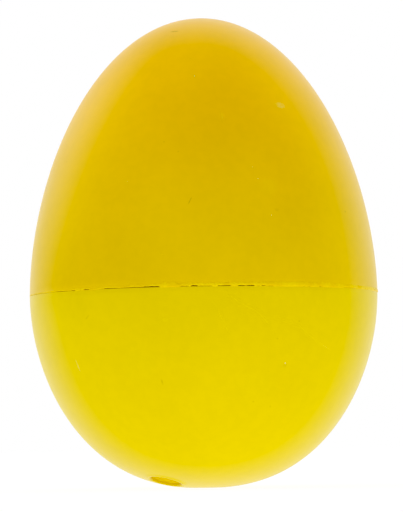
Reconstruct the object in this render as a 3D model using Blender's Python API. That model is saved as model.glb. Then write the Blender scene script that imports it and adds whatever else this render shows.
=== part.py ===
"""Egg shaker: two moulded half shells welded at the waist, a filler plug in the base and loose steel shot inside.

Metres, +Z up. The origin is the middle of the small flat that the egg stands on, and +Z runs up the egg's axis to
its pointed end. The front, with the filler plug on its left, faces -Y.
"""

import math

import bmesh
import bpy
from mathutils import Matrix, Vector

# Shell
LENGTH = 0.060  # from the standing flat to the pointed end
MAX_RADIUS = 0.02218  # at the waist, where the half shells meet
WAIST_HEIGHT = 0.02455
WALL = 0.002
BASE_CUT = 0.00006  # how much of the blunt end the standing flat takes off
UPPER_FULLNESS = (1.81, 2.01)  # the two exponents of each half's outline
LOWER_FULLNESS = (1.89, 2.34)
SEGMENTS = 48
UPPER_RINGS = 16
LOWER_RINGS = 12

# Waist joint: a tongue on the lower shell stands in a rebate in the upper one, and a weld bead fills a groove outside
TONGUE_THICKNESS = 0.0009
TONGUE_HEIGHT = 0.0015
TONGUE_HEADROOM = 0.0001
FACE_GAP = 0.00005
GROOVE_DEPTH = 0.0003
BEAD_PROUD = 0.00012

# Filler hole and its plug, on an axis square to the shell
FILLER_OFFSET = 0.0070  # from the egg's axis
FILLER_AZIMUTH = math.radians(223.3)
FILLER_MOUTH_RADIUS = 0.0021
FILLER_INNER_RADIUS = 0.00185
PLUG_RECESS = 0.0003
PLUG_END_DEPTH = 0.00185
PLUG_CLEARANCE = 0.00005
PLUG_CHAMFER = 0.00025
FILLER_SEGMENTS = 24
CUTTER_OVERRUN = 0.001

# Steel shot, in upright lanes on a hexagonal plan
SHOT_RADIUS = 0.00175
SHOT_GAP = 0.0003  # left between a pellet and the wall
LANE_PITCH = 0.00385
LANE_RINGS = 3
TWO_HIGH_RINGS = 2  # lanes out to this ring hold two pellets, the others one
STACK_PITCH = 0.0038
SHOT_SUBDIVISIONS = 2
WALL_SAMPLES = 200

MERGE_DISTANCE = 1e-7
SHARP_ANGLE = math.radians(30)


def clear_scene():
    for item in list(bpy.data.objects):
        bpy.data.objects.remove(item)


def plain_material(name, color, roughness, metallic):
    material = bpy.data.materials.new(name)
    material.use_nodes = True
    shader = material.node_tree.nodes["Principled BSDF"]
    shader.inputs["Base Color"].default_value = (*color, 1.0)
    shader.inputs["Roughness"].default_value = roughness
    shader.inputs["Metallic"].default_value = metallic
    material.diffuse_color = (*color, 1.0)
    return material


def half_shape(upper, inset):
    """How far a half reaches from the waist, and its outline's two exponents, for the surface inset inside the egg."""
    if upper:
        return LENGTH - WAIST_HEIGHT - inset, *UPPER_FULLNESS
    return WAIST_HEIGHT + BASE_CUT - inset, *LOWER_FULLNESS


def radius_at(height, inset=0.0):
    """The egg's radius at this height, or that of the surface inset inside it."""
    reach, fall, roundness = half_shape(height >= WAIST_HEIGHT, inset)
    share = min(abs(height - WAIST_HEIGHT) / reach, 1.0)
    return (MAX_RADIUS - inset) * (1 - share**fall) ** (1 / roundness)


def height_at(radius, upper, inset=0.0):
    """The height at which a half of the egg, or the surface inset inside it, has this radius."""
    reach, fall, roundness = half_shape(upper, inset)
    share = (1 - (radius / (MAX_RADIUS - inset)) ** roundness) ** (1 / fall)
    return WAIST_HEIGHT + (reach if upper else -reach) * share


def half_outline(upper, rings, start_height, inset=0.0):
    """(radius, height) points from start_height to the half's end on the axis, closer together towards the end."""
    reach = half_shape(upper, inset)[0]
    end_height = WAIST_HEIGHT + (reach if upper else -reach)
    if not upper:
        end_height = max(end_height, 0.0)
    points = []
    for ring in range(rings):
        height = start_height + (end_height - start_height) * math.sin(math.pi / 2 * ring / rings)
        points.append((radius_at(height, inset), height))
    if not upper and inset == 0.0:
        points.append((radius_at(0.0), 0.0))
    points.append((0.0, end_height))
    return points


def object_of(mesh_data, name, material):
    bmesh.ops.recalc_face_normals(mesh_data, faces=mesh_data.faces)
    mesh = bpy.data.meshes.new(name)
    mesh_data.to_mesh(mesh)
    mesh_data.free()
    mesh.shade_smooth()
    mesh.set_sharp_from_angle(angle=SHARP_ANGLE)
    if material:
        mesh.materials.append(material)
    made = bpy.data.objects.new(name, mesh)
    bpy.context.collection.objects.link(made)
    return made


def turned(name, profile, material, segments=SEGMENTS):
    """A solid turned about Z from (radius, height) points: from axis to axis, or a closed loop clear of the axis."""
    mesh_data = bmesh.new()
    points = [mesh_data.verts.new((radius, 0.0, height)) for radius, height in profile]
    edges = [mesh_data.edges.new(pair) for pair in zip(points, points[1:])]
    if profile[0][0] > 0:
        edges.append(mesh_data.edges.new((points[-1], points[0])))
    bmesh.ops.spin(
        mesh_data,
        geom=points + edges,
        cent=(0, 0, 0),
        axis=(0, 0, 1),
        angle=2 * math.pi,
        steps=segments,
        use_merge=True,
    )
    bmesh.ops.remove_doubles(mesh_data, verts=mesh_data.verts, dist=MERGE_DISTANCE)
    return object_of(mesh_data, name, material)


def make_upper_shell(material):
    """The pointed half. Its inner edge is rebated to take the lower half's tongue."""
    edge_height = WAIST_HEIGHT + FACE_GAP / 2
    groove_top = edge_height + GROOVE_DEPTH
    rebate_radius = MAX_RADIUS - WALL + TONGUE_THICKNESS + FACE_GAP
    rebate_top = WAIST_HEIGHT + TONGUE_HEIGHT + TONGUE_HEADROOM
    outside = half_outline(True, UPPER_RINGS, groove_top)
    inside = half_outline(True, UPPER_RINGS - 2, rebate_top, WALL)
    profile = outside[::-1]
    profile += [
        (MAX_RADIUS - GROOVE_DEPTH, edge_height),
        (rebate_radius, edge_height),
        (rebate_radius, rebate_top),
    ]
    profile += inside
    return turned("upper_shell", profile, material)


def filler_frame():
    """The filler hole's axis: its origin on the shell's outside, and +Z pointing out of the shell."""
    height = height_at(FILLER_OFFSET, False)
    step = WALL / 100
    slope = (height_at(FILLER_OFFSET + step, False) - height) / step
    radial = Vector((math.cos(FILLER_AZIMUTH), math.sin(FILLER_AZIMUTH), 0.0))
    outward = (radial * slope - Vector((0, 0, 1))).normalized()
    place = Matrix.Translation(radial * FILLER_OFFSET + Vector((0, 0, height)))
    return place @ outward.to_track_quat("Z", "X").to_matrix().to_4x4()


def filler_radius(depth):
    """The hole tapers inwards, so that a plug pushed in from outside stops by itself."""
    return FILLER_MOUTH_RADIUS + (FILLER_INNER_RADIUS - FILLER_MOUTH_RADIUS) * depth / WALL


def make_filler_cutter():
    outer, inner = -CUTTER_OVERRUN, WALL + CUTTER_OVERRUN
    profile = [(0.0, -outer), (filler_radius(outer), -outer), (filler_radius(inner), -inner), (0.0, -inner)]
    cutter = turned("filler_cutter", profile, None, FILLER_SEGMENTS)
    cutter.matrix_world = filler_frame()
    cutter.hide_render = True
    cutter.display_type = "WIRE"
    return cutter


def make_lower_shell(material, filler_cutter):
    """The blunt half, with the standing flat, the tongue at its rim and the filler hole."""
    edge_height = WAIST_HEIGHT - FACE_GAP / 2
    groove_bottom = edge_height - GROOVE_DEPTH
    tongue_radius = MAX_RADIUS - WALL + TONGUE_THICKNESS
    tongue_top = WAIST_HEIGHT + TONGUE_HEIGHT
    outside = half_outline(False, LOWER_RINGS, groove_bottom)
    inside = half_outline(False, LOWER_RINGS - 2, WAIST_HEIGHT, WALL)
    profile = outside[::-1]
    profile += [
        (MAX_RADIUS - GROOVE_DEPTH, edge_height),
        (tongue_radius, edge_height),
        (tongue_radius, tongue_top),
        (MAX_RADIUS - WALL, tongue_top),
    ]
    profile += inside
    shell = turned("lower_shell", profile, material)
    hole = shell.modifiers.new("filler_hole", "BOOLEAN")
    hole.operation = "DIFFERENCE"
    hole.object = filler_cutter
    return shell


def make_filler_plug(material):
    """The bung that closes the filler hole. It sits a little below the shell's surface."""
    outer_radius = filler_radius(PLUG_RECESS) - PLUG_CLEARANCE
    inner_radius = filler_radius(PLUG_END_DEPTH) - PLUG_CLEARANCE
    profile = [
        (0.0, -PLUG_RECESS),
        (outer_radius - PLUG_CHAMFER, -PLUG_RECESS),
        (outer_radius, -PLUG_RECESS - PLUG_CHAMFER),
        (inner_radius, -PLUG_END_DEPTH),
        (0.0, -PLUG_END_DEPTH),
    ]
    plug = turned("filler_plug", profile, material, FILLER_SEGMENTS)
    plug.matrix_world = filler_frame()
    return plug


def make_weld_bead(material):
    """The ring of melted plastic that fills the groove between the half shells and stands a little proud."""
    root = MAX_RADIUS - GROOVE_DEPTH + 2 * FACE_GAP
    half_width = GROOVE_DEPTH - 2 * FACE_GAP
    crest = MAX_RADIUS + BEAD_PROUD
    profile = [
        (root, WAIST_HEIGHT),
        (MAX_RADIUS, WAIST_HEIGHT - half_width),
        (crest, WAIST_HEIGHT - half_width / 2),
        (crest, WAIST_HEIGHT + half_width / 2),
        (MAX_RADIUS, WAIST_HEIGHT + half_width),
    ]
    return turned("weld_bead", profile, material)


def resting_height(offset, upper):
    """The height of a pellet's centre, offset from the axis, where it is SHOT_GAP from the shell's end wall."""
    reach = SHOT_RADIUS + SHOT_GAP
    heights = []
    for sample in range(-WALL_SAMPLES, WALL_SAMPLES + 1):
        across = reach * sample / WALL_SAMPLES
        wall_height = height_at(abs(offset + across), upper, WALL)
        rise = math.sqrt(max(reach**2 - across**2, 0.0))
        heights.append(wall_height - rise if upper else wall_height + rise)
    return min(heights) if upper else max(heights)


def shot_lanes():
    """One (x, y, floor height, ceiling height, pellets) for each upright lane, from the middle outwards."""
    lanes = []
    for i in range(-LANE_RINGS, LANE_RINGS + 1):
        for j in range(-LANE_RINGS, LANE_RINGS + 1):
            ring = max(abs(i), abs(j), abs(i + j))
            if ring > LANE_RINGS:
                continue
            x = LANE_PITCH * (i + j / 2)
            y = LANE_PITCH * j * math.sqrt(3) / 2
            offset = math.hypot(x, y)
            floor = resting_height(offset, False)
            ceiling = resting_height(offset, True)
            pellets = 2 if ring <= TWO_HIGH_RINGS else 1
            lanes.append((ring, round(math.atan2(y, x), 6), x, y, floor, ceiling, pellets))
    return [lane[2:] for lane in sorted(lanes)]


def make_shot(material):
    """Every pellet at rest on the bottom of its lane, numbered lane by lane from the bottom up."""
    pellet_data = bmesh.new()
    bmesh.ops.create_icosphere(pellet_data, subdivisions=SHOT_SUBDIVISIONS, radius=SHOT_RADIUS)
    first = object_of(pellet_data, "shot_pellet_01", material)
    pellets = []
    for x, y, floor, _, count in shot_lanes():
        for layer in range(count):
            if pellets:
                pellet = bpy.data.objects.new(f"shot_pellet_{len(pellets) + 1:02d}", first.data)
                bpy.context.collection.objects.link(pellet)
            else:
                pellet = first
            pellet.location = (x, y, floor + layer * STACK_PITCH)
            pellets.append(pellet)
    return pellets


def main():
    clear_scene()
    upper_yellow = plain_material("upper_shell_plastic", (0.80, 0.42, 0.004), 0.45, 0.0)
    lower_yellow = plain_material("lower_shell_plastic", (0.80, 0.52, 0.004), 0.45, 0.0)
    plug_yellow = plain_material("filler_plug_plastic", (0.66, 0.42, 0.002), 0.7, 0.0)
    bead_yellow = plain_material("weld_bead_plastic", (0.82, 0.55, 0.02), 0.35, 0.0)
    steel = plain_material("steel_shot", (0.55, 0.55, 0.54), 0.2, 1.0)
    make_upper_shell(upper_yellow)
    make_lower_shell(lower_yellow, make_filler_cutter())
    make_filler_plug(plug_yellow)
    make_weld_bead(bead_yellow)
    make_shot(steel)


main()
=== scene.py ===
"""Looks of the egg shaker: two smooth plastic half shells, the uneven weld at the waist, the filler plug and
the shot.

Metres, in the CAD model's frame: the egg stands on z = 0 with its axis on Z, and its front faces -Y.
Azimuths are seen from above, 0 at the front and positive towards +X, the viewer's right.
"""

import math
import random

import bmesh
import bpy
import numpy as np
from mathutils import Matrix, Quaternion, Vector, noise


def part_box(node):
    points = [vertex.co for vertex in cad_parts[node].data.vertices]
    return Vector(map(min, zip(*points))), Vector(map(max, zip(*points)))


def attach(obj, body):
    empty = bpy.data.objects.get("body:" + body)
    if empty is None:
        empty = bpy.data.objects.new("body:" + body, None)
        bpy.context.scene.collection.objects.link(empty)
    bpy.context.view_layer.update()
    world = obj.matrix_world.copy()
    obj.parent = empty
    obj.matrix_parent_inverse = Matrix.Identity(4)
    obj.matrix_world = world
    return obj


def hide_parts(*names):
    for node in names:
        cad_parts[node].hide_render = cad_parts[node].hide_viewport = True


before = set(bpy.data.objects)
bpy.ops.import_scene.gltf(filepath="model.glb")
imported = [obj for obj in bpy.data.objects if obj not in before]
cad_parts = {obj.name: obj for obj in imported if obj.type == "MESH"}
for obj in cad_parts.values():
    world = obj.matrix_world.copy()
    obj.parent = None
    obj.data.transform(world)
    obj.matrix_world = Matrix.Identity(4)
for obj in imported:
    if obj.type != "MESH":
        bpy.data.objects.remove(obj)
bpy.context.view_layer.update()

MM = 0.001

# ---------------------------------------------------------------- sizes, from the frame where it has them
UPPER_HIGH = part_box("upper_shell")[1]
BEAD_LOW, BEAD_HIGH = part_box("weld_bead")

LENGTH = UPPER_HIGH.z
WAIST = (BEAD_LOW.z + BEAD_HIGH.z) / 2
RADIUS = UPPER_HIGH.x
BEAD_REACH = BEAD_HIGH.x - RADIUS
WALL = 2.0 * MM
BASE_CUT = 0.06 * MM  # how much of the blunt end the standing flat takes off
UPPER_FULLNESS = (1.81, 2.01)  # the two exponents of each half's outline, as in the CAD model
LOWER_FULLNESS = (1.89, 2.34)

AROUND = 384  # segments of the shells
SEAM_STEPS = 1440  # segments of the weld, whose gaps are short
SMOOTH_ANGLE = math.radians(40)  # edges that turn more than this stay sharp
WELD_SMOOTH_ANGLE = math.radians(60)

RIM_ROUNDING = 0.04 * MM
SEAM_GAP = 0.12 * MM  # between the two rims; the weld fills it except where it failed
FIT_GAP = 0.05 * MM  # between the tongue and its rebate
TONGUE_RADIUS = RADIUS - 1.1 * MM
TONGUE_HEIGHT = 1.5 * MM

PLUG_OFFSET = 7.0 * MM  # of the filler hole from the egg's axis
PLUG_AZIMUTH = math.radians(-46.7)
PLUG_RADIUS = 1.93 * MM
PLUG_DEPTH = 0.30 * MM
PLUG_END_DEPTH = 1.85 * MM
ROLL_START = 2.16 * MM  # from the hole's axis to where the surface starts to roll down into it


def half_shape(upper, inset):
    """How far a half reaches from the waist, and its outline's exponents.

    It is for the surface that lies inset inside the egg.
    """
    if upper:
        return LENGTH - WAIST - inset, *UPPER_FULLNESS
    return WAIST + BASE_CUT - inset, *LOWER_FULLNESS


def radius_at(height, inset=0.0):
    reach, fall, roundness = half_shape(height >= WAIST, inset)
    share = min(abs(height - WAIST) / reach, 1.0)
    return (RADIUS - inset) * (1 - share**fall) ** (1 / roundness)


def height_at(radius, upper, inset=0.0):
    reach, fall, roundness = half_shape(upper, inset)
    share = (1 - min(radius / (RADIUS - inset), 1.0) ** roundness) ** (1 / fall)
    return WAIST + (reach if upper else -reach) * share


def around(azimuth, radius, height):
    """The point at this azimuth from the front."""
    return Vector((radius * math.sin(azimuth), -radius * math.cos(azimuth), height))


def on_shell(azimuth, height):
    """The point on the egg's outside at this azimuth, in degrees, and height."""
    return around(math.radians(azimuth), radius_at(height), height)


def plug_axis():
    """Where the filler hole's axis meets the egg's outside, and the way it points out."""
    height = height_at(PLUG_OFFSET, False)
    step = WALL / 100
    slope = (height_at(PLUG_OFFSET + step, False) - height) / step
    radial = around(PLUG_AZIMUTH, 1.0, 0.0)
    return radial * PLUG_OFFSET + Vector((0, 0, height)), (radial * slope - Vector((0, 0, 1))).normalized()


def smooth_step(low, high, value):
    share = min(max((value - low) / (high - low), 0.0), 1.0)
    return share * share * (3 - 2 * share)


# ---------------------------------------------------------------- mesh helpers
def object_of(mesh_data, name, material=None, smooth_angle=SMOOTH_ANGLE):
    bmesh.ops.recalc_face_normals(mesh_data, faces=mesh_data.faces)
    mesh = bpy.data.meshes.new(name)
    mesh_data.to_mesh(mesh)
    mesh_data.free()
    mesh.shade_smooth()
    mesh.set_sharp_from_angle(angle=smooth_angle)
    if material:
        mesh.materials.append(material)
    made = bpy.data.objects.new(name, mesh)
    bpy.context.scene.collection.objects.link(made)
    return made


def turned(profile, steps):
    """A closed skin turned about Z from (radius, height) points that run from axis to axis."""
    mesh_data = bmesh.new()
    first = mesh_data.verts.new((0.0, 0.0, profile[0][1]))
    last = mesh_data.verts.new((0.0, 0.0, profile[-1][1]))
    rings = []
    for radius, height in profile[1:-1]:
        ring = [mesh_data.verts.new(around(2 * math.pi * k / steps, radius, height)) for k in range(steps)]
        rings.append(ring)
    for k in range(steps):
        after = (k + 1) % steps
        mesh_data.faces.new((first, rings[0][k], rings[0][after]))
        mesh_data.faces.new((last, rings[-1][after], rings[-1][k]))
        for ring, following in zip(rings, rings[1:]):
            mesh_data.faces.new((ring[k], following[k], following[after], ring[after]))
    return mesh_data


def on_plug_axis(piece):
    """Moves a piece made on Z to the filler hole, with +Z pointing out of the shell."""
    centre, outward = plug_axis()
    piece.matrix_world = Matrix.Translation(centre) @ outward.to_track_quat("Z", "X").to_matrix().to_4x4()


def stand_for(piece, node):
    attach(piece, "shell")
    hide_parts(node)


# ---------------------------------------------------------------- shader helpers
class Nodes:
    """Adds nodes to one tree. An input is fed from another node's output or set to a value."""

    def __init__(self, tree):
        self.tree = tree

    def add(self, kind, settings=None, inputs=None):
        made = self.tree.nodes.new(kind)
        for name, value in (settings or {}).items():
            setattr(made, name, value)
        for key, value in (inputs or {}).items():
            self.feed(made.inputs[key], value)
        return made

    def feed(self, socket, value):
        if isinstance(value, bpy.types.NodeSocket):
            self.tree.links.new(value, socket)
        else:
            socket.default_value = value

    def math(self, operation, first, second=0.0):
        return self.add("ShaderNodeMath", {"operation": operation}, {0: first, 1: second}).outputs[0]

    def ramp(self, value, low, high, out_low=0.0, out_high=1.0):
        """Value from low..high, mapped smoothly to out_low..out_high and held at both ends."""
        inputs = {0: value, 1: low, 2: high, 3: out_low, 4: out_high}
        return self.add("ShaderNodeMapRange", {"interpolation_type": "SMOOTHSTEP"}, inputs).outputs[0]

    def noise(self, vector, size, detail, roughness=0.55):
        """Noise, around 0.5, whose blotches are about size metres across."""
        inputs = {"Vector": vector, "Scale": 1 / size, "Detail": detail, "Roughness": roughness}
        return self.add("ShaderNodeTexNoise", None, inputs).outputs["Fac"]

    def mix(self, share, first, second, blend_type="MIX"):
        settings = {"data_type": "RGBA", "blend_type": blend_type}
        return self.add("ShaderNodeMix", settings, {0: share, 6: first, 7: second}).outputs[2]

    def bump(self, height, strength, distance):
        inputs = {"Height": height, "Strength": strength, "Distance": distance}
        return self.add("ShaderNodeBump", None, inputs).outputs[0]

    def length(self, vector):
        return self.add("ShaderNodeVectorMath", {"operation": "LENGTH"}, {0: vector}).outputs["Value"]


def new_material(name):
    """A material, a helper for its nodes, its Principled shader, and the position in the piece's frame."""
    material = bpy.data.materials.new(name)
    material.use_nodes = True
    nodes = Nodes(material.node_tree)
    position = nodes.add("ShaderNodeTexCoord").outputs["Object"]
    return material, nodes, material.node_tree.nodes["Principled BSDF"], position


def rgba(red, green, blue):
    return (red, green, blue, 1.0)


def set_surface(nodes, shader, color, roughness, normal):
    nodes.feed(shader.inputs["Base Color"], color)
    nodes.feed(shader.inputs["Roughness"], roughness)
    nodes.feed(shader.inputs["Normal"], normal)


def set_plastic_sheen(shader, level):
    """How strongly the plastic mirrors the light, 0.5 being usual, and in which colour."""
    shader.inputs["IOR"].default_value = PLASTIC_IOR
    shader.inputs["Specular IOR Level"].default_value = level
    shader.inputs["Specular Tint"].default_value = YELLOW_SHEEN


# ---------------------------------------------------------------- wear on the plastic
# Small marks: azimuth (degrees), height, half length and half width (mm), fall to the right (degrees) and
# strength, which is above 0 for a pale scuff or speck, and below 0 for a dark scratch or dot
UPPER_MARKS = [
    (-4.1, 35.0, 0.72, 0.11, -64, -0.34),
    (-3.0, 51.0, 0.36, 0.34, 0, -0.06),
    (-3.0, 51.0, 0.18, 0.18, 0, 0.60),
    (36.5, 47.3, 1.10, 0.60, 5, 0.28),
    (8.5, 45.6, 0.85, 0.20, 88, 0.20),
    (18.1, 39.2, 0.20, 0.12, 0, 0.75),
    (19.8, 37.7, 0.20, 0.15, 20, 0.55),
    (23.2, 33.2, 0.15, 0.12, 0, 0.80),
    (-26.9, 37.7, 0.22, 0.20, 0, 0.28),
    (-13.1, 28.5, 0.25, 0.18, 0, 0.18),
    (23.3, 36.8, 1.80, 1.40, 0, 0.07),
    (-8.6, 41.2, 0.16, 0.15, 0, -0.16),
    (-14.2, 42.5, 0.16, 0.14, 0, -0.12),
    (-5.6, 53.4, 0.20, 0.14, 0, -0.10),
    (57.1, 34.1, 0.22, 0.20, 0, -0.30),
    (25.4, 33.9, 0.40, 0.30, 0, -0.10),
    (-61.6, 41.0, 0.24, 0.20, 0, -0.14),
    (-24.0, 57.5, 0.75, 0.13, 0, -0.34),
]
LOWER_MARKS = [
    (-15.2, 13.1, 0.50, 0.16, 82, -0.34),
    (-40.6, 21.2, 0.60, 0.16, -40, -0.14),
    (28.5, 15.0, 0.40, 0.40, 0, -0.12),
    (28.5, 15.2, 0.22, 0.20, 0, 0.70),
    (-12.3, 20.6, 0.70, 0.40, 0, 0.14),
    (-49.2, 15.4, 1.20, 0.22, 78, 0.30),
    (-23.4, 15.0, 2.80, 4.20, 0, 0.06),
    (19.5, 12.5, 3.00, 3.20, 0, 0.06),
    (18.5, 10.6, 0.20, 0.14, 0, -0.12),
    (26.0, 10.0, 0.24, 0.16, 40, -0.14),
    (32.1, 20.3, 0.18, 0.16, 0, -0.16),
    (24.5, 18.2, 0.20, 0.18, 0, -0.14),
]
# Long thin scratches, as (azimuth, height in mm) points along each
LONG_SCRATCHES = [
    [(7.6, 23.6), (11.3, 22.5), (17.2, 21.4), (21.7, 19.7)],
    [(24.4, 20.6), (31.5, 20.0), (35.3, 18.9), (40.5, 17.8), (48.5, 16.7)],
    [(4.3, 21.7), (6.5, 20.0), (7.8, 18.9)],
    [(112, 20.5), (121, 19.0), (128, 16.2)],
    [(-150, 9.5), (-141, 11.8), (-136, 15.0), (-133, 18.5)],
]
SCRATCH_HALF_WIDTH = 0.10
SCRATCH_STRENGTH = 0.14
SCRATCH_OVERLAP = 0.62  # each small mark's half length, as a share of the scratch's stretch that it covers
MARK_HALF_DEPTH = 1.5 * MM  # how far a mark reaches in and out of the surface
MARK_CORE = 0.3  # the share of a mark that shows at full strength
# The wear strewn over the sides and back: the strengths to choose from, and the range of everything else
WEAR_STRENGTHS = (-0.4, -0.25, 0.2, 0.35, 0.6)
WEAR_AZIMUTH = (75, 285)
WEAR_HALF_LENGTH = (0.15, 0.9)
WEAR_HALF_WIDTH = (0.12, 0.2)
WEAR_FALL = (-80, 80)


def scratch_marks(points):
    """A long scratch as a chain of small marks that overlap end to end."""
    marks = []
    for (azimuth, height), (next_azimuth, next_height) in zip(points, points[1:]):
        middle = (azimuth + next_azimuth) / 2, (height + next_height) / 2
        across = math.radians(next_azimuth - azimuth) * radius_at(middle[1] * MM) / MM
        fall = height - next_height
        reach = math.hypot(across, fall) * SCRATCH_OVERLAP
        slope = math.degrees(math.atan2(fall, across))
        marks.append((*middle, reach, SCRATCH_HALF_WIDTH, slope, SCRATCH_STRENGTH))
    return marks


def wear_behind(seed, lowest, highest, count):
    """Marks like the front's for the sides and back, between these heights in mm."""
    draw = random.Random(seed)
    marks = []
    for _ in range(count):
        strength = draw.choice(WEAR_STRENGTHS)
        half_length = draw.uniform(*WEAR_HALF_LENGTH)
        azimuth = draw.uniform(*WEAR_AZIMUTH)
        height = draw.uniform(lowest, highest)
        half_width = draw.uniform(*WEAR_HALF_WIDTH)
        fall = draw.uniform(*WEAR_FALL)
        marks.append((azimuth, height, half_length, half_width, fall, strength))
    return marks


def mark_depth(nodes, position, mark):
    """How strongly a mark shows here: its strength in its middle, fading to 0 at its edge."""
    azimuth, height, half_length, half_width, fall, strength = mark
    turn = Quaternion((0, 0, 1), math.radians(azimuth)) @ Quaternion((0, 1, 0), math.radians(fall))
    inputs = {
        "Vector": position,
        "Location": on_shell(azimuth, height * MM),
        "Rotation": turn.to_euler(),
        "Scale": (half_length * MM, MARK_HALF_DEPTH, half_width * MM),
    }
    local = nodes.add("ShaderNodeMapping", {"vector_type": "TEXTURE"}, inputs).outputs[0]
    return nodes.ramp(nodes.length(local), MARK_CORE, 1.0, abs(strength), 0.0)


def deepest(nodes, position, marks):
    """The strongest of several marks at each point."""
    result = 0.0
    for mark in marks:
        result = nodes.math("MAXIMUM", mark_depth(nodes, position, mark), result)
    return result


# ---------------------------------------------------------------- materials
DARK_MARK = rgba(0.30, 0.16, 0.004)
PALE_MARK = rgba(0.98, 0.88, 0.36)
JOINT_PAINTED_SHADE = rgba(0.78, 0.27, 0.0)  # painted shade: light in the joint bounces off plastic all round and comes out deeper, so the faces there are painted a deeper orange
# painted shade in the filler hole's recess: a darker, deeper orange
RECESS_PAINTED_SHADE = rgba(0.76, 0.51, 0.0)
YELLOW_SHEEN = rgba(1.0, 0.86, 0.02)
PLASTIC_IOR = 1.5
SHELL_ROUGHNESS = 0.30


def joint_painted_shade_share(nodes, position):
    """Where shade is painted in the waist joint: 1 on the faces inside it, 0 on the outside."""
    edge_depth, full_depth = 0.03 * MM, 0.12 * MM
    far_from_waist, near_waist = 0.8 * MM, 0.4 * MM
    parts = nodes.add("ShaderNodeSeparateXYZ", None, {0: position}).outputs
    flat = nodes.add("ShaderNodeCombineXYZ", None, {0: parts[0], 1: parts[1]}).outputs[0]
    inwards = nodes.ramp(nodes.length(flat), RADIUS - edge_depth, RADIUS - full_depth)
    off_waist = nodes.math("ABSOLUTE", nodes.math("SUBTRACT", parts[2], WAIST))
    return nodes.math("MULTIPLY", inwards, nodes.ramp(off_waist, far_from_waist, near_waist))


def recess_painted_shade_share(nodes, position):
    """Where shade is painted in the filler hole's recess: 1 inside its rolled edge, 0 outside it."""
    centre = plug_axis()[0]
    full_inside = 2.04 * MM
    offset = nodes.add("ShaderNodeVectorMath", {"operation": "SUBTRACT"}, {0: position, 1: centre}).outputs[0]
    return nodes.ramp(nodes.length(offset), ROLL_START, full_inside)


def mark_share(nodes, position, marks, broken):
    return nodes.math("MULTIPLY", deepest(nodes, position, marks), broken)


def moulded_plastic(name, low_color, high_color, marks):
    """Smooth moulded plastic, a little uneven in colour and gloss.

    Its colour changes from low_color to high_color between the waist and the pointed end; on the upper shell
    this change is painted shade, more orange towards the tip.
    """
    material, nodes, shader, position = new_material(name)
    height = nodes.add("ShaderNodeSeparateXYZ", None, {0: position}).outputs["Z"]
    # painted shade: on the upper shell the colour grows more orange towards the tip
    color = nodes.mix(nodes.ramp(height, WAIST, LENGTH), rgba(*low_color), rgba(*high_color))
    cloud = nodes.noise(position, 9 * MM, 2.0)
    mottle = nodes.noise(position, 1.2 * MM, 2.0)
    cloud_shade = nodes.ramp(cloud, 0.3, 0.7, 0.985, 1.015)
    mottle_shade = nodes.ramp(mottle, 0.3, 0.7, -0.012, 0.012)
    color = nodes.mix(1.0, color, nodes.math("ADD", cloud_shade, mottle_shade), "MULTIPLY")
    # painted shade on the faces inside the waist joint
    color = nodes.mix(joint_painted_shade_share(nodes, position), color, JOINT_PAINTED_SHADE)
    # painted shade in the filler hole's recess
    color = nodes.mix(recess_painted_shade_share(nodes, position), color, RECESS_PAINTED_SHADE)
    broken = nodes.ramp(nodes.noise(position, 0.35 * MM, 2.0), 0.35, 0.6, 0.45, 1.0)
    dark = mark_share(nodes, position, [mark for mark in marks if mark[-1] < 0], broken)
    pale = mark_share(nodes, position, [mark for mark in marks if mark[-1] > 0], broken)
    color = nodes.mix(pale, color, PALE_MARK)
    color = nodes.mix(dark, color, DARK_MARK)
    sheen_cloud = nodes.noise(position, 7 * MM, 0.0)
    gloss = nodes.ramp(sheen_cloud, 0.3, 0.7, SHELL_ROUGHNESS - 0.01, SHELL_ROUGHNESS + 0.015)
    scuffed = nodes.math("MULTIPLY", nodes.math("MAXIMUM", dark, pale), 0.5)
    dimples = nodes.noise(position, 1.4 * MM, 0.0)
    ripple = nodes.math("MULTIPLY", nodes.noise(position, 7 * MM, 1.0), 8.0)
    scratches = nodes.math("MULTIPLY", dark, 12.0)
    relief = nodes.math("SUBTRACT", nodes.math("ADD", ripple, dimples), scratches)
    normal = nodes.bump(relief, 0.4, 0.003 * MM)
    set_surface(nodes, shader, color, nodes.math("ADD", gloss, scuffed), normal)
    set_plastic_sheen(shader, 0.5)
    return material


def weld_plastic():
    """Plastic that was melted and squeezed out: paler and grainy."""
    material, nodes, shader, position = new_material("weld_bead_plastic")
    grain = nodes.noise(position, 0.25 * MM, 3.0, 0.65)
    stretch = nodes.noise(position, 1.8 * MM, 2.0)
    color = nodes.mix(nodes.ramp(stretch, 0.35, 0.65), rgba(0.91, 0.64, 0.005), rgba(0.98, 0.75, 0.03))
    color = nodes.mix(nodes.ramp(grain, 0.35, 0.7, 0.0, 0.4), color, rgba(0.86, 0.56, 0.0))
    # painted shade on the weld where it lies inside the joint
    color = nodes.mix(joint_painted_shade_share(nodes, position), color, JOINT_PAINTED_SHADE)
    roughness = nodes.ramp(grain, 0.3, 0.7, 0.22, 0.48)
    set_surface(nodes, shader, color, roughness, nodes.bump(grain, 0.5, 0.02 * MM))
    set_plastic_sheen(shader, 0.1)
    return material


def plug_plastic():
    """The plug's dull, pitted end, a little darker in patches."""
    material, nodes, shader, position = new_material("filler_plug_plastic")
    pits = nodes.noise(position, 0.5 * MM, 4.0, 0.6)
    color = nodes.mix(nodes.ramp(pits, 0.35, 0.65), rgba(0.75, 0.49, 0.0), rgba(0.88, 0.63, 0.0))
    roughness = nodes.ramp(pits, 0.3, 0.7, 0.9, 0.7)
    set_surface(nodes, shader, color, roughness, nodes.bump(pits, 0.3, 0.03 * MM))
    set_plastic_sheen(shader, 0.2)
    return material


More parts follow.
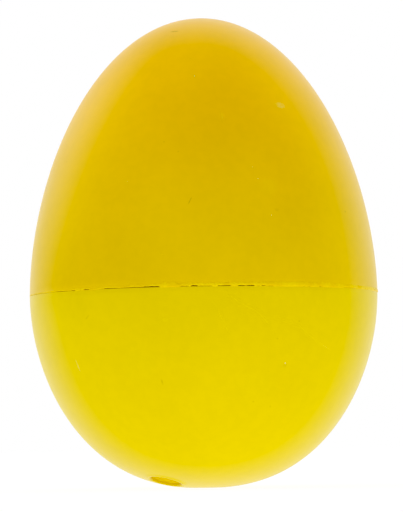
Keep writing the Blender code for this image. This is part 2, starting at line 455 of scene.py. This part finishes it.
def shot_steel():
    """Steel shot, bright where it rubs and dull where it doesn't."""
    material, nodes, shader, position = new_material("steel_shot")
    scuff = nodes.noise(position, 0.35 * MM, 6.0, 0.7)
    film = nodes.noise(position, 1.4 * MM, 2.0)
    color = nodes.mix(nodes.ramp(film, 0.35, 0.65), rgba(0.50, 0.49, 0.47), rgba(0.63, 0.63, 0.64))
    color = nodes.mix(nodes.ramp(scuff, 0.62, 0.72), color, rgba(0.20, 0.18, 0.16))
    roughness = nodes.ramp(scuff, 0.3, 0.75, 0.16, 0.42)
    set_surface(nodes, shader, color, roughness, nodes.bump(scuff, 0.3, 0.01 * MM))
    shader.inputs["Metallic"].default_value = 1.0
    return material


# ---------------------------------------------------------------- half shells
def rounded_rim(edge_height, inwards):
    """The rim's outer corner as a quarter round, from the outside to the rim's face.

    inwards is the way from the rim into its own half: 1 is up and -1 is down.
    """
    points = []
    for turn in (90, 60, 30, 0):
        angle = math.radians(turn)
        radius = RADIUS - RIM_ROUNDING * (1 - math.sin(angle))
        points.append((radius, edge_height + inwards * RIM_ROUNDING * (1 - math.cos(angle))))
    return points


def inner_profile(start_height, end_height, rings):
    """The inside wall, from the rim to the axis, with its rings closer together towards the axis."""
    points = []
    for k in range(rings):
        height = start_height + (end_height - start_height) * math.sin(math.pi / 2 * k / rings)
        points.append((radius_at(height, WALL), height))
    return points + [(0.0, end_height)]


def make_upper_shell(material):
    rings, inner_rings = 56, 24
    rim = WAIST + SEAM_GAP
    rebate_radius = TONGUE_RADIUS + FIT_GAP
    rebate_top = WAIST + TONGUE_HEIGHT + 2 * FIT_GAP
    profile = [(0.0, LENGTH)]
    for k in range(rings - 1, 0, -1):
        height = WAIST + (LENGTH - WAIST) * math.sin(math.pi / 2 * k / rings)
        profile.append((radius_at(height), height))
    profile += rounded_rim(rim, 1)
    profile += [(rebate_radius, rim), (rebate_radius, rebate_top)]
    profile += inner_profile(rebate_top, LENGTH - WALL, inner_rings)
    shell = object_of(turned(profile, AROUND), "pointed_half_shell", material)
    stand_for(shell, "upper_shell")


def press_lip(mesh_data):
    """Raises a soft lip round the filler hole, higher towards +X, and rolls the surface down into it."""
    centre, outward = plug_axis()
    lip_radius = 2.34 * MM
    lip_width = 0.28 * MM
    lip_height = 0.13 * MM
    roll_depth = 0.14 * MM
    for point in mesh_data.verts:
        offset = point.co - centre
        depth = offset.dot(outward)
        flat = offset - outward * depth
        distance = flat.length
        if distance > lip_radius + 3 * lip_width or depth < -WALL / 2:
            continue
        side = 0.75 + 0.25 * flat.x / max(distance, MM)  # from 0.5 on the -X side to 1 on the +X side
        ridge = lip_height * side * math.exp(-(((distance - lip_radius) / lip_width) ** 2))
        roll = roll_depth * smooth_step(ROLL_START, PLUG_RADIUS, distance)
        point.co += outward * (ridge - roll)
        point.co.z = max(point.co.z, 0.0)


def cut_filler_hole(shell):
    """Cuts a slightly tapered hole that clears the plug."""
    inner_clearance, outer_clearance = 0.01 * MM, 0.06 * MM
    cutter_data = bmesh.new()
    bmesh.ops.create_cone(
        cutter_data,
        cap_ends=True,
        segments=96,
        radius1=PLUG_RADIUS + inner_clearance,
        radius2=PLUG_RADIUS + outer_clearance,
        depth=3 * WALL,
    )
    cutter = object_of(cutter_data, "filler_cutter")
    on_plug_axis(cutter)
    hole = shell.modifiers.new("filler_hole", "BOOLEAN")
    hole.operation = "DIFFERENCE"
    hole.object = cutter
    graph = bpy.context.evaluated_depsgraph_get()
    cut_mesh = bpy.data.meshes.new_from_object(shell.evaluated_get(graph))
    shell.modifiers.clear()
    shell.data = cut_mesh
    bpy.data.objects.remove(cutter)


def make_lower_shell(material):
    """The blunt half. Its rings are close together across the filler hole, where the lip is raised."""
    rings, inner_rings = 44, 20
    fine_from, fine_to = 4.0 * MM, 10.0 * MM
    fine_step, coarse_step = 0.12 * MM, 0.5 * MM
    profile = [(0.0, 0.0)]
    radius = coarse_step
    while radius < fine_to:
        profile.append((radius, max(height_at(radius, False), 0.0)))
        radius += coarse_step if radius < fine_from else fine_step
    reach = WAIST + BASE_CUT
    start = math.asin((WAIST - height_at(fine_to, False)) / reach)
    for k in range(rings):
        height = WAIST - reach * math.sin(start * (1 - k / rings))
        profile.append((radius_at(height), height))
    profile += rounded_rim(WAIST, -1)
    tongue_top = WAIST + TONGUE_HEIGHT
    profile += [(TONGUE_RADIUS, WAIST), (TONGUE_RADIUS, tongue_top), (RADIUS - WALL, tongue_top)]
    profile += inner_profile(WAIST, WALL - BASE_CUT, inner_rings)
    mesh_data = turned(profile, AROUND)
    press_lip(mesh_data)
    shell = object_of(mesh_data, "blunt_half_shell", material)
    cut_filler_hole(shell)
    stand_for(shell, "lower_shell")


def make_filler_plug(material):
    """A tapered bung with a rough, slightly domed end below the lip."""
    steps, rings = 96, 14
    straight, taper = 0.3 * MM, 0.06 * MM
    coarse_size, coarse_height = 0.7 * MM, 0.08 * MM
    fine_size, fine_height = 0.25 * MM, 0.03 * MM
    edge_start, edge_fall = 0.7, 0.10 * MM
    profile = [(PLUG_RADIUS * k / rings, -PLUG_DEPTH) for k in range(rings + 1)]
    profile += [
        (PLUG_RADIUS, -PLUG_DEPTH - straight),
        (PLUG_RADIUS - taper, -PLUG_END_DEPTH),
        (0.0, -PLUG_END_DEPTH),
    ]
    mesh_data = turned(profile, steps)
    for point in mesh_data.verts:
        if point.co.z < -PLUG_DEPTH - straight / 2:
            continue
        coarse = coarse_height * noise.noise(point.co / coarse_size)
        fine = fine_height * noise.noise(point.co / fine_size + Vector((7, 3, 1)))
        edge = smooth_step(edge_start, 1.0, point.co.xy.length / PLUG_RADIUS)
        point.co.z += coarse + fine - edge_fall * edge
    plug = object_of(mesh_data, "filler_bung", material)
    on_plug_axis(plug)
    stand_for(plug, "filler_plug")


# ---------------------------------------------------------------- weld at the waist
# Where the weld left the joint open across the front: start and end azimuth, degrees, and width, mm
OPEN_STRETCHES = [
    (-90, -45.3, 0.010),
    (-56.0, -49.0, 0.034),
    (-47.6, -45.2, 0.040),
    (-43.4, -42.4, 0.010),
    (-41.6, -38.9, 0.070),
    (-34.8, -33.2, 0.012),
    (-33.4, -28.4, 0.055),
    (-28.8, -25.9, 0.032),
    (-26.4, -18.9, 0.046),
    (-19.4, -13.7, 0.105),
    (-7.3, -4.4, 0.036),
    (-4.1, -1.5, 0.110),
    (-1.7, 2.8, 0.030),
    (4.3, 8.8, 0.055),
    (10.6, 13.6, 0.062),
    (13.4, 16.4, 0.065),
    (16.9, 17.9, 0.025),
    (18.3, 19.9, 0.035),
    (20.5, 22.5, 0.006),
    (33.0, 33.8, 0.010),
    (35.0, 35.8, 0.020),
    (39.7, 40.7, 0.040),
    (51.0, 59.0, 0.004),
]
# Azimuth (degrees), the weld's height above the joint and how far it stands out (mm), and its unevenness
WELD_SHAPE = [
    (-90, 0.16, 0.004, 0.3),
    (-60, 0.18, 0.015, 0.6),
    (-42, 0.22, 0.03, 1.0),
    (-28, 0.28, 0.04, 1.0),
    (-17, 0.36, 0.05, 1.0),
    (-12, 0.50, 0.06, 1.0),
    (-9, 0.56, 0.07, 1.0),
    (-5, 0.36, 0.05, 1.0),
    (4, 0.40, 0.05, 1.0),
    (15, 0.46, 0.06, 1.0),
    (24, 0.52, 0.07, 0.8),
    (32, 0.58, 0.08, 0.8),
    (42, 0.52, 0.06, 1.0),
    (50, 0.46, 0.05, 0.3),
    (60, 0.40, 0.035, 0.2),
    (85, 0.36, 0.07, 0.3),
    (130, 0.34, 0.07, 1.0),
    (180, 0.45, 0.05, 1.0),
    (230, 0.30, 0.05, 1.0),
    (262, 0.16, 0.01, 0.5),
    (270, 0.16, 0.004, 0.3),
]
GAP_FADE = 0.5  # degrees over which an open stretch closes at each end
WELD_DEPTH = 0.6 * MM  # how far the weld reaches into the joint
WELD_LAP = 0.08 * MM  # how far it hangs over the lower shell's rim where the joint is closed
WELD_BULGE = ((0.05, 0.40), (0.22, 0.88), (0.42, 1.0), (0.66, 0.78), (0.88, 0.25))  # shares: way up, way out
WAVE_RATE, LUMP_RATE, GRAIN_RATE = 12, 45, 160  # cells of noise in each radian round the waist


def stretches_all_round():
    """The front's open stretches, and others like them round the back."""
    back_start, back_end = 95.0, 262
    open_lengths, closed_lengths, widths = (0.8, 6.0), (0.4, 5.0), (0.02, 0.07)
    draw = random.Random(5)
    stretches = list(OPEN_STRETCHES)
    azimuth = back_start
    while azimuth < back_end:
        length = draw.uniform(*open_lengths)
        stretches.append((azimuth, azimuth + length, draw.uniform(*widths)))
        azimuth += length + draw.uniform(*closed_lengths)
    return stretches


def opening_at(azimuth, stretches, raggedness):
    """How wide the joint is open at this azimuth, in metres."""
    narrowest_share = 0.2
    widest = 0.0
    for start, end, width in stretches:
        if start < azimuth < end:
            close = min(azimuth - start, end - azimuth)
            widest = max(widest, width * smooth_step(0.0, GAP_FADE, close))
    return widest * MM * max(1 + raggedness, narrowest_share)


def weld_section(opening, height, proud):
    """The weld's outline, as (radius, height) points, from its root out and up to its top and back.

    Its lower edge, the lip, lifts where the joint stayed open.
    """
    root = RADIUS - WELD_DEPTH
    under_surface = RADIUS - 0.05 * MM
    behind_top = RADIUS - 0.06 * MM
    least_proud = RADIUS + 0.004 * MM
    feather = 0.008 * MM  # how far the top's edge sinks into the upper shell
    slope = 0.02 * MM
    lip = WAIST + (opening if opening > 0 else -WELD_LAP)
    top = WAIST + max(height, SEAM_GAP + RIM_ROUNDING)
    section = [(root, lip + slope / 2), (under_surface, lip)]
    for up, out in WELD_BULGE:
        section.append((least_proud + out * proud, lip + up * (top - lip)))
    section += [
        (radius_at(top) - feather, top),
        (behind_top, top - slope),
        (root, max(WAIST, lip) + slope),
    ]
    return section


def make_weld(material):
    """The ring of plastic squeezed out above the joint, lumpy and broken."""
    furthest_out = BEAD_REACH - 0.005 * MM
    stretches = stretches_all_round()
    knots, heights, prouds, unevenness = zip(*WELD_SHAPE)
    mesh_data = bmesh.new()
    rings = []
    for k in range(SEAM_STEPS):
        azimuth = -90 + 360 * k / SEAM_STEPS
        angle = math.radians(azimuth)
        circle = Vector((math.cos(angle), math.sin(angle), 0.0))
        wave = noise.noise(circle * WAVE_RATE + Vector((3, 1, 2)))
        lump = noise.noise(circle * LUMP_RATE)
        grain = noise.noise(circle * GRAIN_RATE + Vector((5, 0, 0)))
        uneven = np.interp(azimuth, knots, unevenness)
        opening = opening_at(azimuth, stretches, 0.5 * lump + 0.5 * grain)
        height_share = 1 + uneven * (0.2 * wave + 0.35 * lump + 0.12 * grain)
        proud_share = 1 + uneven * (0.2 * wave + 0.5 * lump + 0.3 * grain)
        height = np.interp(azimuth, knots, heights) * MM * height_share
        proud = np.interp(azimuth, knots, prouds) * MM * proud_share
        section = weld_section(opening, height, min(proud, furthest_out))
        rings.append([mesh_data.verts.new(around(angle, *point)) for point in section])
    count = len(rings[0])
    for k, ring in enumerate(rings):
        following = rings[(k + 1) % SEAM_STEPS]
        for i in range(count):
            j = (i + 1) % count
            mesh_data.faces.new((ring[i], ring[j], following[j], following[i]))
    weld = object_of(mesh_data, "waist_weld", material, WELD_SMOOTH_ANGLE)
    stand_for(weld, "weld_bead")


# ---------------------------------------------------------------- steel shot
def shot_mesh(variant, radius):
    """A pellet a little out of round, with a few small flats. It stays inside its CAD pellet's radius."""
    flat_count, deepest_flat, shallowest_flat = 7, 0.982, 0.994
    dent_rate, dent_depth = 2.5, 0.006
    mesh_data = bmesh.new()
    bmesh.ops.create_icosphere(mesh_data, subdivisions=4, radius=radius)
    draw = random.Random(variant)
    flats = []
    for _ in range(flat_count):
        direction = Vector([draw.gauss(0, 1) for _ in range(3)]).normalized()
        flats.append((direction, radius * draw.uniform(deepest_flat, shallowest_flat)))
    for point in mesh_data.verts:
        dent = 0.5 + 0.5 * noise.noise(point.co.normalized() * dent_rate + Vector((variant, 0, 0)))
        point.co *= 1 - dent_depth * dent
        for direction, reach in flats:
            over = point.co.dot(direction) - reach
            if over > 0:
                point.co -= direction * over
    return mesh_data


def make_shot(material):
    """One pellet for each CAD pellet, in four shapes, each turned its own way."""
    shape_count = 4
    names = sorted(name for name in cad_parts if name.startswith("shot_pellet_"))
    low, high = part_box(names[0])
    radius = (high.z - low.z) / 2
    shapes = []
    for variant in range(shape_count):
        shapes.append(object_of(shot_mesh(variant, radius), f"steel_shot_{variant + 1:02d}", material))
    draw = random.Random(11)
    for number, name in enumerate(names):
        if number < shape_count:
            pellet = shapes[number]
        else:
            shape = shapes[number % shape_count].data
            pellet = bpy.data.objects.new(f"steel_shot_{number + 1:02d}", shape)
            bpy.context.scene.collection.objects.link(pellet)
        low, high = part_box(name)
        pellet.location = (low + high) / 2
        pellet.rotation_mode = "QUATERNION"
        pellet.rotation_quaternion = Quaternion([draw.gauss(0, 1) for _ in range(4)]).normalized()
        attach(pellet, name)
        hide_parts(name)


# ---------------------------------------------------------------- studio
# Soft sources round the egg: azimuth and elevation (degrees), strength, and width, which is how far the cosine
# of the angle from the source's middle falls before its light ends. A strength below 0 is a flag, which takes
# light away.
STUDIO = [
    (10, 65, -2.0, 0.35),
    (-106, 24, 1.4, 0.28),
    (73, 32, -1.85, 0.11),
    (-7, 77, 1.74, 0.18),
    (142, 61, 0.45, 0.34),
    (-88, -5, -2.0, 0.60),
]
SURROUND = 1.01


def make_studio():
    """A white surround. The camera sees it plain. Its light on the egg is shaped by the sources and flags."""
    world = bpy.data.worlds.new("studio")
    bpy.context.scene.world = world
    world.use_nodes = True
    world.node_tree.nodes.clear()
    nodes = Nodes(world.node_tree)
    way = nodes.add("ShaderNodeTexCoord").outputs["Generated"]
    light = SURROUND
    for azimuth, elevation, strength, width in STUDIO:
        level = math.radians(elevation)
        towards = around(math.radians(azimuth), math.cos(level), math.sin(level))
        product = nodes.add("ShaderNodeVectorMath", {"operation": "DOT_PRODUCT"}, {0: way, 1: towards})
        facing = product.outputs["Value"]
        near = nodes.add("ShaderNodeMapRange", None, {0: facing, 1: 1 - width, 2: 1.0}).outputs[0]
        glow = nodes.math("MULTIPLY", nodes.math("POWER", near, 2.0), strength)
        light = nodes.math("ADD", light, glow)
    light = nodes.math("MAXIMUM", light, 0.0)
    shaped = nodes.add("ShaderNodeBackground", None, {"Strength": light}).outputs[0]
    plain = nodes.add("ShaderNodeBackground", None, {"Strength": 1.0}).outputs[0]
    for background in (shaped, plain):
        background.node.inputs["Color"].default_value = rgba(1, 1, 1)
    seen = nodes.add("ShaderNodeLightPath").outputs["Is Camera Ray"]
    both = nodes.add("ShaderNodeMixShader", None, {0: seen, 1: shaped, 2: plain}).outputs[0]
    nodes.add("ShaderNodeOutputWorld", None, {"Surface": both})


def make_floor():
    """A white table lit from below, so that the egg stands on white with only a faint shadow under it."""
    table_radius = 3.0
    grey = 0.10
    glow = 0.93
    mesh_data = bmesh.new()
    bmesh.ops.create_circle(mesh_data, cap_ends=True, segments=96, radius=table_radius)
    material, _, shader, _ = new_material("white_table")
    shader.inputs["Base Color"].default_value = rgba(grey, grey, grey)
    shader.inputs["Roughness"].default_value = 1.0
    shader.inputs["Specular IOR Level"].default_value = 0.0
    shader.inputs["Emission Color"].default_value = rgba(1, 1, 1)
    shader.inputs["Emission Strength"].default_value = glow
    object_of(mesh_data, "floor", material)


def make_camera():
    """Near the table, level with the egg's foot, and turned a touch so that the egg leans to the left."""
    distance = 400 * MM
    height = 5.31 * MM
    frame_height = 65.34 * MM  # of the view, at the egg's axis
    lean = 0.0143  # radians
    aim_left = 0.271 * MM  # of the middle of the waist
    aim_above = 4.974 * MM
    across = Vector((math.cos(lean), 0, -math.sin(lean)))
    up = Vector((math.sin(lean), 0, math.cos(lean)))
    target = Vector((0, 0, WAIST)) - across * aim_left + up * aim_above
    place = Vector((0, -distance, height))
    forward = (target - place).normalized()
    right = (across - forward * across.dot(forward)).normalized()
    above = right.cross(forward)
    camera = bpy.data.objects.new("camera", bpy.data.cameras.new("camera"))
    bpy.context.scene.collection.objects.link(camera)
    camera.data.sensor_width = 36.0
    camera.data.lens = camera.data.sensor_width * distance / frame_height
    camera.data.clip_start = 0.05
    turn = Matrix((right, above, -forward)).transposed()
    camera.matrix_world = Matrix.Translation(place) @ turn.to_4x4()
    bpy.context.scene.camera = camera


def set_film():
    """Plain sRGB, with blue starting a little late, since a yellow this strong shows none."""
    blue_start = 0.04
    settings = bpy.context.scene.view_settings
    settings.view_transform = "Standard"
    settings.use_curve_mapping = True
    settings.curve_mapping.black_level = (0.0, 0.0, blue_start)
    settings.curve_mapping.update()


# The upper shell's colour at the waist, and at the tip, where it is more orange with painted shade
UPPER_AT_WAIST = (0.855, 0.588, 0.0)
UPPER_AT_TIP_WITH_PAINTED_SHADE = (1.0, 0.57, 0.0)
LOWER_COLOR = (0.87, 0.67, 0.0)

upper_marks = UPPER_MARKS + wear_behind(seed=3, lowest=28, highest=54, count=14)
lower_marks = LOWER_MARKS + wear_behind(seed=8, lowest=5, highest=22, count=12)
for scratch in LONG_SCRATCHES:
    lower_marks += scratch_marks(scratch)
make_upper_shell(moulded_plastic("upper_shell_plastic", UPPER_AT_WAIST, UPPER_AT_TIP_WITH_PAINTED_SHADE, upper_marks))
make_lower_shell(moulded_plastic("lower_shell_plastic", LOWER_COLOR, LOWER_COLOR, lower_marks))
make_filler_plug(plug_plastic())
make_weld(weld_plastic())
make_shot(shot_steel())
make_studio()
make_floor()
make_camera()
set_film()
